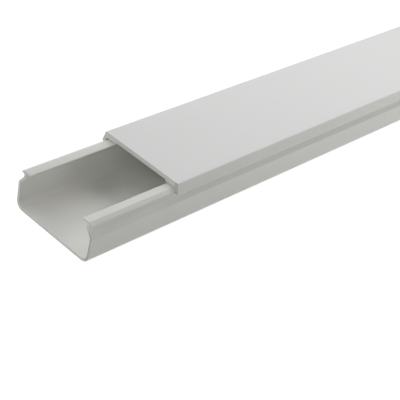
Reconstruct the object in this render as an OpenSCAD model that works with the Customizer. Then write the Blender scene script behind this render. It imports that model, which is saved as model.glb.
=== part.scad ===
// Self-adhesive cord cover raceway: an extruded channel, a lid that hooks over it, and the tape
// and release liner on its back. X runs along the raceway, Y across it and Z up from the back.
// The origin is the middle of the back, on the face of the liner.

/* [Raceway] */
// Length of the channel and of the lid
raceway_length = 400; // [200:50:1000]
// Width of the channel, across its shoulders
raceway_w = 40; // [32:1:80]
// Height of the section, from the back of the channel to the top of the lid
raceway_h = 20; // [16:1:40]
// How far the lid is slid back from the near end of the channel
lid_setback = 40; // [0:5:150]

/* [Base channel] */
// Thickness of the side walls and of the neck of the rail
wall_t = 1; // [0.8:0.1:1.3]
// Thickness of the floor
floor_t = 1.1; // [0.8:0.1:2]
// Outer radius between the back and the side walls
corner_r = 3.4; // [2:0.2:4]
// How far a side wall leans out, from the back up to the shoulder
wall_lean = 0.3; // [0:0.1:0.8]
// Outer radius of the shoulder
shoulder_r = 1; // [0.4:0.1:1.4]

/* [Snap rail] */
// Height of the rail, from the shoulder to the crest of the lip
rail_h = 6; // [5.4:0.1:7]
// Height of the ramp that leads in from the shoulder to the neck
ramp_h = 3.3; // [2.8:0.1:3.6]
// Outer radius where the ramp meets the neck
neck_r = 2; // [0.6:0.1:3]
// Width of the lip, from its inner edge out to its crest
lip_w = 3.4; // [2.6:0.1:5]
// How far the lip falls over that width, from the crest in to its inner edge
lip_fall = 0.2; // [0:0.1:0.4]
// Thickness of the lip
lip_t = 0.8; // [0.6:0.1:1]
// Width of the barb's lead-in slope
lead_w = 1.4; // [1:0.1:1.6]
// How far the lead-in slope falls, out to the tip
lead_fall = 0.9; // [0.7:0.1:1]
// Height of the barb's blunt tip
tip_t = 0.3; // [0.3:0.1:0.5]
// How far the tip stands in from the shoulder
tip_inset = 1.1; // [0.8:0.1:1.4]
// How far the tip overhangs the neck
barb_reach = 1.4; // [1.1:0.1:1.6]
// How far the underside of the barb falls, from its tip to the neck
barb_fall = 0.4; // [0.2:0.1:0.6]

/* [Lid] */
// Thickness of the lid's plate
lid_t = 1.9; // [1.4:0.1:2.4]
// Thickness of the lid's flanges
flange_t = 1.5; // [1.2:0.1:1.8]
// How far a flange splays out, from the top of the lid to its foot
flange_splay = 1.3; // [0.4:0.1:1.6]
// Outer radius between the plate and the flanges
lid_corner_r = 0.6; // [0.3:0.1:1.2]
// How far a seat stands down from the plate, over a lip
seat_t = 0.6; // [0.3:0.1:0.8]
// Width of a seat, in from its flange
seat_w = 5; // [3.6:0.1:5.8]
// How far a hook reaches in from its flange
hook_reach = 1; // [0.8:0.1:1.1]
// Height of a hook where it meets its flange
hook_h = 0.6; // [0.5:0.1:1.6]
// Height of a hook's blunt nose
hook_nose_h = 0.4; // [0.3:0.1:0.5]

/* [Fit] */
// Clearance between the lid and the rail, on every side
snap_gap = 0.2; // [0.1:0.05:0.3]

/* [Adhesive back] */
// How far the tape stays in from the edges of the flat back
tape_margin = 3.8; // [1:0.1:8]
// How far the tape stays in from the ends of the channel
tape_end_margin = 3; // [0:1:10]
// Thickness of the double-sided tape
tape_t = 0.4; // [0.2:0.1:1.2]
// Thickness of the release liner
liner_t = 0.1; // [0.1:0.05:0.3]

/* [Hidden] */

// Straight steps in each arc of a section
arc_steps = 8;
// Rounding of the thin edges, as shares of the thickness that carries them
tip_round_share = 0.45;
lip_round_share = 0.4;
lead_round_share = 0.8;
hook_round_share = 0.45;
flange_round_share = 0.35;
// Fillets inside the corners, as shares of the thickness that they strengthen
root_round_share = 0.5;
// A rounding takes no more than this share of either side of its corner
side_share = 0.5;

// Heights in the section, above the back of the channel
under_lid_z = raceway_h - lid_t;
seat_z = under_lid_z - seat_t;
ridge_z = seat_z - snap_gap;
lip_z = ridge_z - lip_fall;
tip_z = ridge_z - lead_fall;
barb_z = tip_z - tip_t;
shoulder_z = ridge_z - rail_h;
neck_z = shoulder_z + ramp_h;
foot_z = barb_z - snap_gap - hook_h;

// Distances across the channel, from its middle
shoulder_half = raceway_w / 2;
back_half = shoulder_half - wall_lean;
tip_half = shoulder_half - tip_inset;
lead_half = tip_half - lead_w;
lip_half = lead_half - lip_w;
neck_half = tip_half - barb_reach;
tape_half = back_half - corner_r - tape_margin;

// A flange's inner face at height z: it clears the barb's tip, and splays out to its foot
function flange_in(z) = tip_half + snap_gap + flange_splay * (tip_z - z) / (raceway_h - foot_z);
hook_half = flange_in(foot_z) - hook_reach;
seat_half = flange_in(seat_z) - seat_w;

// The height of the back of the channel, which stands on the tape and the liner
back_z = tape_t + liner_t;
near_x = -raceway_length / 2;

// Slopes of the lip and of the barb's underside, which the hook's top follows
lip_slope = lip_fall / lip_w;
barb_slope = barb_fall / barb_reach;

// A vector of length one
function unit(v) = v / norm(v);

// An angle brought between -180 and 180 degrees
function wrapped(a) = a > 180 ? a - 360 : a < -180 ? a + 360 : a;

// The arc that rounds corner b, between its neighbours a and c
function corner_arc(a, b, c, r) =
    let (
        to_a = unit(a - b),
        to_c = unit(c - b),
        half_angle = acos(to_a * to_c) / 2,
        widest = side_share * min(norm(a - b), norm(c - b)) * tan(half_angle),
        radius = min(r, widest),
        centre = b + unit(to_a + to_c) * radius / sin(half_angle),
        first = b + to_a * radius / tan(half_angle) - centre,
        last = b + to_c * radius / tan(half_angle) - centre,
        start = atan2(first.y, first.x),
        sweep = wrapped(atan2(last.y, last.x) - start)
    )
    [for (i = [0:arc_steps])
        centre + radius * [cos(start + sweep * i / arc_steps), sin(start + sweep * i / arc_steps)]];

// A closed outline, from corners given as [across, up, radius]
function rounded(corners) =
    let (n = len(corners))
    [for (i = [0:n - 1])
        let (
            a = corners[(i + n - 1) % n],
            b = corners[i],
            c = corners[(i + 1) % n]
        )
        each b.z > 0
            ? corner_arc([a.x, a.y], [b.x, b.y], [c.x, c.y], b.z)
            : [[b.x, b.y]]];

// Both halves of a symmetric section, from the corners of its right half
function both_halves(half) =
    concat(half, [for (i = [len(half) - 1:-1:0]) [-half[i].x, half[i].y, half[i].z]]);

// Where the line through a and b, moved left by t1, meets the line through b and c, moved left by t2
function moved_corner(a, b, c, t1, t2) =
    let (
        d1 = unit(b - a),
        d2 = unit(c - b),
        p = a + t1 * [-d1.y, d1.x],
        q = b + t2 * [-d2.y, d2.x],
        across = d1.x * d2.y - d1.y * d2.x,
        along = ((q.x - p.x) * d2.y - (q.y - p.y) * d2.x) / across
    )
    p + along * d1;

// The outer line of a side wall, from the middle of the back up to the top of the neck
wall_line = [
    [0, 0],
    [back_half, 0],
    [shoulder_half, shoulder_z],
    [neck_half, neck_z],
    [neck_half, barb_z - barb_fall]
];
// The same line inside the channel, a wall's thickness away
floor_corner = moved_corner(wall_line[0], wall_line[1], wall_line[2], floor_t, wall_t);
inner_shoulder = moved_corner(wall_line[1], wall_line[2], wall_line[3], wall_t, wall_t);
inner_neck = moved_corner(wall_line[2], wall_line[3], wall_line[4], wall_t, wall_t);

// The underside of the lip, at a distance y from the middle
function under_lip(y) = lip_z + lip_slope * (y - lip_half) - lip_t;

// The right half of the channel: up its outer side, over the lip and down its inner side
base_half_section = [
    [back_half, 0, corner_r],
    [shoulder_half, shoulder_z, shoulder_r],
    [neck_half, neck_z, neck_r],
    [neck_half, barb_z - barb_fall, root_round_share * lip_t],
    [tip_half, barb_z, tip_round_share * tip_t],
    [tip_half, tip_z, tip_round_share * tip_t],
    [lead_half, ridge_z, lead_round_share * lip_t],
    [lip_half, lip_z, lip_round_share * lip_t],
    [lip_half, under_lip(lip_half), lip_round_share * lip_t],
    [inner_neck.x, under_lip(inner_neck.x), root_round_share * lip_t],
    [inner_neck.x, inner_neck.y, neck_r + wall_t],
    [inner_shoulder.x, inner_shoulder.y, root_round_share * wall_t],
    [floor_corner.x, floor_corner.y, corner_r - wall_t]
];

// The underside of the barb less the clearance, which is the top of the hook
function hook_top(y) = barb_z - snap_gap - barb_slope * (tip_half - y);

// The right half of the lid: down its outer side, round the hook and in along the underside
lid_half_section = [
    [flange_in(raceway_h) + flange_t, raceway_h, lid_corner_r],
    [flange_in(foot_z) + flange_t, foot_z, flange_round_share * flange_t],
    [flange_in(foot_z), foot_z, flange_round_share * flange_t],
    [hook_half, hook_top(hook_half) - hook_nose_h, hook_round_share * hook_nose_h],
    [hook_half, hook_top(hook_half), hook_round_share * hook_nose_h],
    [flange_in(barb_z), hook_top(flange_in(barb_z)), root_round_share * hook_nose_h],
    [flange_in(seat_z), seat_z, root_round_share * flange_t],
    [seat_half, seat_z, seat_t],
    [seat_half - seat_t, under_lid_z, seat_t]
];

// A section in Y and Z, drawn out along X
module drawn_out(outline, from_x, length)
    translate([from_x, 0, back_z])
        rotate([90, 0, 90])
            linear_extrude(length)
                polygon(outline);

module base_channel()
    color([0.87, 0.88, 0.86])
        drawn_out(rounded(both_halves(base_half_section)), near_x, raceway_length);

module cover_lid()
    color([0.89, 0.89, 0.88])
        drawn_out(rounded(both_halves(lid_half_section)), near_x + lid_setback, raceway_length);

// A flat strip on the back, from height low_z up, t thick
module back_strip(low_z, t)
    translate([near_x + tape_end_margin, -tape_half, low_z])
        cube([raceway_length - 2 * tape_end_margin, 2 * tape_half, t]);

module adhesive_tape()
    color([0.91, 0.91, 0.8])
        back_strip(liner_t, tape_t);

module release_liner()
    color([0.78, 0.66, 0.24])
        back_strip(0, liner_t);

base_channel();
cover_lid();
adhesive_tape();
release_liner();
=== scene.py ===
"""The looks of a cord cover raceway: two extrusions, a tape and its liner, on a white floor."""

import math

import bpy
from mathutils import Matrix, Vector


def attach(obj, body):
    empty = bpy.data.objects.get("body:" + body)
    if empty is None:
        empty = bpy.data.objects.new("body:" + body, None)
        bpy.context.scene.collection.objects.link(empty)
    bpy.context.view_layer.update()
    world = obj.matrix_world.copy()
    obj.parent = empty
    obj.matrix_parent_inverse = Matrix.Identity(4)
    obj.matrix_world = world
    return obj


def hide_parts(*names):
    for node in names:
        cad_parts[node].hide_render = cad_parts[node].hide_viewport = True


MM = 0.001
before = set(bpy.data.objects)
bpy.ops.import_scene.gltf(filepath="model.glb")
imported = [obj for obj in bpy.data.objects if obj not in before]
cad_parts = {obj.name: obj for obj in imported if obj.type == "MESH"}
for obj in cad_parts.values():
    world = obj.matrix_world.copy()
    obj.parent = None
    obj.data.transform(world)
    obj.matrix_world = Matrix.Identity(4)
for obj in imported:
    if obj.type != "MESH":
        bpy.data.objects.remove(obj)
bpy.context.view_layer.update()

# The camera of the photograph, in the part's own frame
CAMERA_AT = Vector((-0.4309, -0.2354, 0.2542))
CAMERA_AIM = Vector((0.6573, 0.4964, -0.567))
CAMERA_UP = Vector((0.3045, 0.5133, 0.8024))
CAMERA_SENSOR_MM = 36
CAMERA_LENS_MM = 104.8
CAMERA_CLIP_NEAR = 0.01
CAMERA_CLIP_FAR = 50

# Easing of the sawn ends' edges, across the section and along it, and the steps in it
END_ROUND = 0.12 * MM
END_EASE = 0.22 * MM
END_STEPS = 3
# The same for the thin tape and liner, both ways
STRIP_ROUND = 0.03 * MM
# Points of an outline closer than this are one point
SAME_POINT = 0.0001 * MM
# Faces that meet at less than this angle are shaded as one curved face
SMOOTH_ANGLE = math.radians(32)

# Plastic: noise cells a metre along X, Y and Z
MOTTLE_CELLS = (30, 60, 60)
DIE_LINE_CELLS = (3, 1400, 1400)
SKIN_CELLS = (5200, 5200, 5200)
SAW_MARK_CELLS = (1, 260, 3800)
# How much of a face's normal lies along X on a sawn end, and straight up on the lid's upper face,
# which is painted lighter and more neutral as painted light from above
END_FACING = 0.7
TOP_FACING = 0.9
# How light the sawn ends are beside the skin, partly for their rough face and partly as painted
# shade, and how light they are where more painted shade darkens them on the near side, at low Y
SAWN_TONE = 0.81
PAINTED_SHADE_TONE = 0.59
# Where that painted shade on the near side starts and where it is at its darkest, across the part
PAINTED_SHADE_FROM = -17.6 * MM
PAINTED_SHADE_TO = -18.8 * MM
# The inner faces of the channel, painted lighter to stand in for light bounced around in the
# channel: how far out they reach, and between which heights
INSIDE_HALF = 19.35 * MM
INSIDE_LOW = 1.3 * MM
INSIDE_HIGH = 11.8 * MM
# Roughness of the skin, its spread either way, and how much rougher a sawn end is
PVC_ROUGH = 0.46
PVC_ROUGH_SPREAD = 0.06
SAWN_ROUGHER = 0.22
PVC_IOR = 1.53
# Depth of the relief, the share of it that the die lines have, and the saw marks' height in it
PVC_RELIEF = 0.012 * MM
DIE_LINE_SHARE = 0.6
SAW_MARK_HEIGHT = 3.0

# Tape and liner: noise cells a metre along X, Y and Z, and depths of the relief
FOAM_CELLS = (1800, 1800, 1800)
TAPE_MOTTLE_CELLS = (60, 160, 160)
FOAM_RELIEF = 0.04 * MM
DRAG_LINE_CELLS = (6, 700, 700)
CREASE_CELLS = (90, 40, 40)
FILM_RELIEF = 0.08 * MM
DRAG_LINE_SHARE = 0.3

# Soft boxes: name, where it stands, what it points at, its side and its power in watts
LIGHTS = [
    ("back_top", (-0.516, 0.894, 1.475), (0, 0, 0), 1.0, 6.6),
    ("back", (0.816, 1.413, 0.761), (0, 0, 0), 1.2, 6.4),
    ("open_end", (-1.631, 0, 0.761), (0, 0, 0), 1.6, 9.9),
    ("front", (-1.154, -1.154, 0.761), (0, 0, 0), 1.2, 3.0),
    ("middle_top", (0.04, 0, 0.3), (0.04, 0, 0), 0.2, 0.34),
    ("middle_front", (0.05, -0.3, 0.1), (0.05, 0, 0), 0.2, 0.185),
]
FLOOR_HALF = 4
# The floor stays clear of the liner's face by this much, so that the two don't coincide
FLOOR_DROP = 0.02 * MM
# For the camera and in gloss: how bright the floor is by itself, and how strongly it takes light
SEEN_FLOOR_GLOW = 0.94
SEEN_FLOOR_ALBEDO = 0.2
# The same where it lights the part
LIGHTING_FLOOR_GLOW = 0.08
LIGHTING_FLOOR_ALBEDO = 0.8


# Meshes

def end_outline(node):
    """A node's section, as (y, z) points anticlockwise, with its low and high X."""
    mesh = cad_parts[node].data
    low = min(v.co.x for v in mesh.vertices)
    high = max(v.co.x for v in mesh.vertices)
    edges = set()
    for face in mesh.polygons:
        points = [mesh.vertices[i].co for i in face.vertices]
        if max(p.x for p in points) - low > SAME_POINT:
            continue
        keys = [(round(p.y / SAME_POINT), round(p.z / SAME_POINT)) for p in points]
        edges.update(zip(keys, keys[1:] + keys[:1]))
    follows = {a: b for a, b in edges if (b, a) not in edges}
    first = min(follows)
    loop = [first]
    while follows[loop[-1]] != first:
        loop.append(follows[loop[-1]])
    points = [Vector((y * SAME_POINT, z * SAME_POINT)) for y, z in loop]
    if sum(a.cross(b) for a, b in zip(points, points[1:] + points[:1])) < 0:
        points.reverse()
    return points, low, high


def inset(outline, distance):
    """The outline moved inwards by a distance."""
    moved = []
    for i, p in enumerate(outline):
        before = (p - outline[i - 1]).normalized()
        after = (outline[(i + 1) % len(outline)] - p).normalized()
        n1 = Vector((-before.y, before.x))
        n2 = Vector((-after.y, after.x))
        moved.append(p + distance * (n1 + n2) / (1 + n1.dot(n2)))
    return moved


def add_mesh(name, points, faces, material, body, replaces):
    """A smooth-shaded mesh that rides on a body and stands for a CAD node."""
    mesh = bpy.data.meshes.new(name)
    mesh.from_pydata(points, [], faces)
    mesh.polygons.foreach_set("use_smooth", [True] * len(mesh.polygons))
    mesh.set_sharp_from_angle(angle=SMOOTH_ANGLE)
    mesh.materials.append(material)
    piece = bpy.data.objects.new(name, mesh)
    bpy.context.scene.collection.objects.link(piece)
    piece.modifiers.new("flat_faces", "WEIGHTED_NORMAL").keep_sharp = True
    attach(piece, body)
    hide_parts(replaces)


def extrusion(name, node, material, body, across=END_ROUND, along=END_EASE):
    """A node's section drawn out along X, with the edges of its cut ends eased."""
    outline, low, high = end_outline(node)
    turns = [math.pi / 2 * k / END_STEPS for k in range(END_STEPS + 1)]
    ends = [(along * (1 - math.cos(a)), across * (1 - math.sin(a))) for a in turns]
    rings = [(low + x, d) for x, d in ends] + [(high - x, d) for x, d in reversed(ends)]
    n = len(outline)
    points = [(x, p.x, p.y) for x, d in rings for p in inset(outline, d)]
    faces = [list(range(n - 1, -1, -1)), [len(points) - n + i for i in range(n)]]
    for ring in range(len(rings) - 1):
        for i in range(n):
            j = (i + 1) % n
            faces.append([ring * n + i, ring * n + j, (ring + 1) * n + j, (ring + 1) * n + i])
    add_mesh(name, points, faces, material, body, node)


# Materials

class Shader:
    """A material's node tree, filled one node at a time."""

    def __init__(self, name):
        self.material = bpy.data.materials.new(name)
        self.material.use_nodes = True
        self.tree = self.material.node_tree
        self.surface = self.tree.nodes["Principled BSDF"]
        self.at = self.add("TexCoord").outputs["Object"]

    def add(self, kind, settings=None, **inputs):
        """A node of this kind, with its settings, and its inputs set or linked."""
        node = self.tree.nodes.new("ShaderNode" + kind)
        for key, value in (settings or {}).items():
            setattr(node, key, value)
        for key, value in inputs.items():
            self.put(node, key, value)
        return node

    def put(self, node, key, value):
        """Sets an input, named or numbered as in _0, to a value or links it to an output."""
        socket = node.inputs[int(key[1:]) if key[0] == "_" else key.replace("_", " ")]
        if isinstance(value, bpy.types.NodeSocket):
            self.tree.links.new(value, socket)
        else:
            socket.default_value = value

    def math(self, operation, a, b=0.0):
        """The result of a sum on two values."""
        return self.add("Math", {"operation": operation}, _0=a, _1=b).outputs[0]

    def noise(self, cells, detail=2.0, rough=0.5):
        """Noise with this many cells a metre along X, Y and Z."""
        place = self.add("Mapping", Vector=self.at, Scale=cells).outputs[0]
        noise = self.add("TexNoise", Vector=place, Scale=1.0, Detail=detail, Roughness=rough)
        return noise.outputs[0]

    def between(self, factor, low, high):
        """A value carried from low to high as the factor goes from 0 to 1."""
        return self.add("MapRange", Value=factor, To_Min=low, To_Max=high).outputs[0]

    def shares(self, a, b, share):
        """Two values added, with this share of the first and the rest of the second."""
        return self.math("ADD", self.math("MULTIPLY", a, share), self.math("MULTIPLY", b, 1 - share))

    def blend(self, factor, a, b):
        """A colour between two, by a factor."""
        return self.add("Mix", {"data_type": "RGBA"}, _0=factor, _6=a, _7=b).outputs[2]

    def relief(self, height, depth, strength):
        """Relief by a height from 0 to 1, which stands for this depth."""
        bump = self.add("Bump", Height=height, Distance=depth, Strength=strength)
        self.put(self.surface, "Normal", bump.outputs[0])


def rgb(r, g, b):
    """A colour for a socket."""
    return (r, g, b, 1.0)


def pvc(name, light, dark, painted_top_light=None, painted_bounce_light=None):
    """Satin rigid PVC: faint mottling, die lines along X, a fine skin and saw marks on the ends.

    A face that looks straight up can be painted lighter, as painted light from above, and the
    channel's inner faces lighter, as painted bounced light. The sawn ends are darker, partly for
    their rough face and partly as painted shade, most on the near side.
    """
    s = Shader(name)
    mottle = s.noise(MOTTLE_CELLS, 3.0)
    lines = s.noise(DIE_LINE_CELLS)
    skin = s.noise(SKIN_CELLS, 3.0, 0.6)
    marks = s.noise(SAW_MARK_CELLS, 3.0, 0.6)
    normal = s.add("NewGeometry").outputs["True Normal"]
    along, _, up = s.add("SeparateXYZ", Vector=normal).outputs
    _, across, height = s.add("SeparateXYZ", Vector=s.at).outputs

    tone = s.blend(mottle, light, dark)
    # The lid's upper face is painted lighter and more neutral: painted light from above
    if painted_top_light:
        painted_top_mask = s.math("GREATER_THAN", up, TOP_FACING)
        tone = s.blend(painted_top_mask, tone, s.blend(mottle, *painted_top_light))
    # The channel's inner faces are painted lighter: painted light bounced around in the channel
    if painted_bounce_light:
        painted_bounce_mask = s.math("LESS_THAN", s.math("ABSOLUTE", across), INSIDE_HALF)
        for check, limit in (("GREATER_THAN", INSIDE_LOW), ("LESS_THAN", INSIDE_HIGH)):
            painted_bounce_mask = s.math("MULTIPLY", painted_bounce_mask, s.math(check, height, limit))
        tone = s.blend(painted_bounce_mask, tone, s.blend(mottle, *painted_bounce_light))
    # The sawn ends darken, partly for their rough face and partly as painted shade, and on the near
    # side (low Y) further as painted shade
    sawn = s.math("GREATER_THAN", s.math("ABSOLUTE", along), END_FACING)
    sawn_and_shade_tone = s.add("MapRange", Value=across, From_Min=PAINTED_SHADE_TO, From_Max=PAINTED_SHADE_FROM,
                      To_Min=PAINTED_SHADE_TONE, To_Max=SAWN_TONE).outputs[0]
    end = s.add("VectorMath", {"operation": "SCALE"}, Vector=dark[:3], Scale=sawn_and_shade_tone).outputs[0]
    s.put(s.surface, "Base_Color", s.blend(sawn, tone, end))

    satin = s.between(s.shares(mottle, lines, 0.5),
                      PVC_ROUGH - PVC_ROUGH_SPREAD, PVC_ROUGH + PVC_ROUGH_SPREAD)
    rougher = s.math("MULTIPLY", sawn, SAWN_ROUGHER)
    s.put(s.surface, "Roughness", s.math("ADD", satin, rougher))
    s.put(s.surface, "IOR", PVC_IOR)
    grain = s.shares(lines, skin, DIE_LINE_SHARE)
    cut = s.math("MULTIPLY", marks, SAW_MARK_HEIGHT)
    ridges = s.add("Mix", {"data_type": "FLOAT"}, _0=sawn, _2=grain, _3=cut).outputs[0]
    s.relief(ridges, PVC_RELIEF, 0.6)
    return s.material


def adhesive(name):
    """Cream acrylic adhesive on a thin foam carrier."""
    s = Shader(name)
    cells = s.noise(FOAM_CELLS, 3.0, 0.6)
    mottle = s.noise(TAPE_MOTTLE_CELLS, 3.0)
    cream = s.blend(mottle, rgb(0.70, 0.71, 0.55), rgb(0.64, 0.64, 0.47))
    s.put(s.surface, "Base_Color", cream)
    s.put(s.surface, "Roughness", s.between(cells, 0.5, 0.75))
    s.relief(cells, FOAM_RELIEF, 0.5)
    return s.material


def liner(name):
    """Yellow siliconed release film: low gloss, with faint drag lines along the roll."""
    s = Shader(name)
    drag = s.noise(DRAG_LINE_CELLS, 3.0)
    crease = s.noise(CREASE_CELLS)
    yellow = s.blend(drag, rgb(0.56, 0.42, 0.075), rgb(0.48, 0.35, 0.055))
    s.put(s.surface, "Base_Color", yellow)
    s.put(s.surface, "Roughness", s.between(crease, 0.34, 0.52))
    s.relief(s.shares(drag, crease, DRAG_LINE_SHARE), FILM_RELIEF, 0.4)
    return s.material


# The stage

def seen(tree):
    """An output of 1 for rays of the camera, of gloss and of transmission, and of 0 for others."""
    path = tree.nodes.new("ShaderNodeLightPath")
    result = path.outputs["Is Camera Ray"]
    for other in ("Is Glossy Ray", "Is Transmission Ray"):
        most = tree.nodes.new("ShaderNodeMath")
        most.operation = "MAXIMUM"
        tree.links.new(result, most.inputs[0])
        tree.links.new(path.outputs[other], most.inputs[1])
        result = most.outputs[0]
    return result


def white_floor():
    """A white floor that keeps a light shadow, and lights what stands on it as white paint does."""
    mesh = bpy.data.meshes.new("floor")
    sides = ((-1, -1), (1, -1), (1, 1), (-1, 1))
    corners = [(x * FLOOR_HALF, y * FLOOR_HALF, -FLOOR_DROP) for x, y in sides]
    mesh.from_pydata(corners, [], [(0, 1, 2, 3)])
    floor = bpy.data.objects.new("floor", mesh)
    bpy.context.scene.collection.objects.link(floor)
    material = bpy.data.materials.new("floor_white")
    material.use_nodes = True
    tree = material.node_tree
    tree.nodes.clear()
    mix = tree.nodes.new("ShaderNodeMixShader")
    tree.links.new(seen(tree), mix.inputs[0])
    layers = ((LIGHTING_FLOOR_ALBEDO, LIGHTING_FLOOR_GLOW), (SEEN_FLOOR_ALBEDO, SEEN_FLOOR_GLOW))
    for socket, (albedo, glow) in zip(mix.inputs[1:], layers):
        paint = tree.nodes.new("ShaderNodeBsdfDiffuse")
        paint.inputs["Color"].default_value = rgb(albedo, albedo, albedo)
        light = tree.nodes.new("ShaderNodeEmission")
        light.inputs["Strength"].default_value = glow
        both = tree.nodes.new("ShaderNodeAddShader")
        tree.links.new(paint.outputs[0], both.inputs[0])
        tree.links.new(light.outputs[0], both.inputs[1])
        tree.links.new(both.outputs[0], socket)
    out = tree.nodes.new("ShaderNodeOutputMaterial")
    tree.links.new(mix.outputs[0], out.inputs[0])
    mesh.materials.append(material)


def studio():
    """A white room that is seen but gives no light, and the soft boxes that give it."""
    scene = bpy.context.scene
    world = bpy.data.worlds.new("room")
    scene.world = world
    world.use_nodes = True
    tree = world.node_tree
    backdrop = tree.nodes["Background"]
    backdrop.inputs["Color"].default_value = rgb(1, 1, 1)
    backdrop.inputs["Strength"].default_value = 1.0
    mix = tree.nodes.new("ShaderNodeMixShader")
    tree.links.new(seen(tree), mix.inputs[0])
    tree.links.new(backdrop.outputs[0], mix.inputs[2])
    tree.links.new(mix.outputs[0], tree.nodes["World Output"].inputs[0])
    for name, stands, aims, side, watts in LIGHTS:
        light = bpy.data.lights.new(name, "AREA")
        light.shape = "SQUARE"
        light.size = side
        light.energy = watts
        box = bpy.data.objects.new(name, light)
        box.location = stands
        box.rotation_euler = (Vector(aims) - Vector(stands)).to_track_quat("-Z", "Y").to_euler()
        box.visible_camera = False
        scene.collection.objects.link(box)
    scene.view_settings.view_transform = "Standard"


def camera():
    """The photograph's camera."""
    data = bpy.data.cameras.new("camera")
    data.sensor_width = CAMERA_SENSOR_MM
    data.lens = CAMERA_LENS_MM
    data.clip_start = CAMERA_CLIP_NEAR
    data.clip_end = CAMERA_CLIP_FAR
    holder = bpy.data.objects.new("camera", data)
    back = -CAMERA_AIM.normalized()
    right = CAMERA_UP.cross(back).normalized()
    up = back.cross(right)
    turn = Matrix((right, up, back)).transposed()
    holder.matrix_world = Matrix.Translation(CAMERA_AT) @ turn.to_4x4()
    bpy.context.scene.collection.objects.link(holder)
    bpy.context.scene.camera = holder


camera()
# The channel's inner faces take lighter tones as painted bounced light
channel_pvc = pvc("channel_pvc", rgb(0.84, 0.838, 0.802), rgb(0.82, 0.818, 0.782),
                  painted_bounce_light=(rgb(0.858, 0.854, 0.82), rgb(0.838, 0.834, 0.8)))
# The lid's upper face takes lighter, more neutral tones as painted light from above
lid_pvc = pvc("lid_pvc", rgb(0.834, 0.84, 0.802), rgb(0.814, 0.82, 0.782),
              painted_top_light=(rgb(0.865, 0.865, 0.859), rgb(0.845, 0.845, 0.839)))
extrusion("channel_extrusion", "base_channel", channel_pvc, "channel")
extrusion("lid_extrusion", "cover_lid", lid_pvc, "lid")
extrusion("tape_strip", "adhesive_tape", adhesive("tape"), "channel",
          STRIP_ROUND, STRIP_ROUND)
extrusion("liner_strip", "release_liner", liner("liner"), "channel",
          STRIP_ROUND, STRIP_ROUND)
white_floor()
studio()
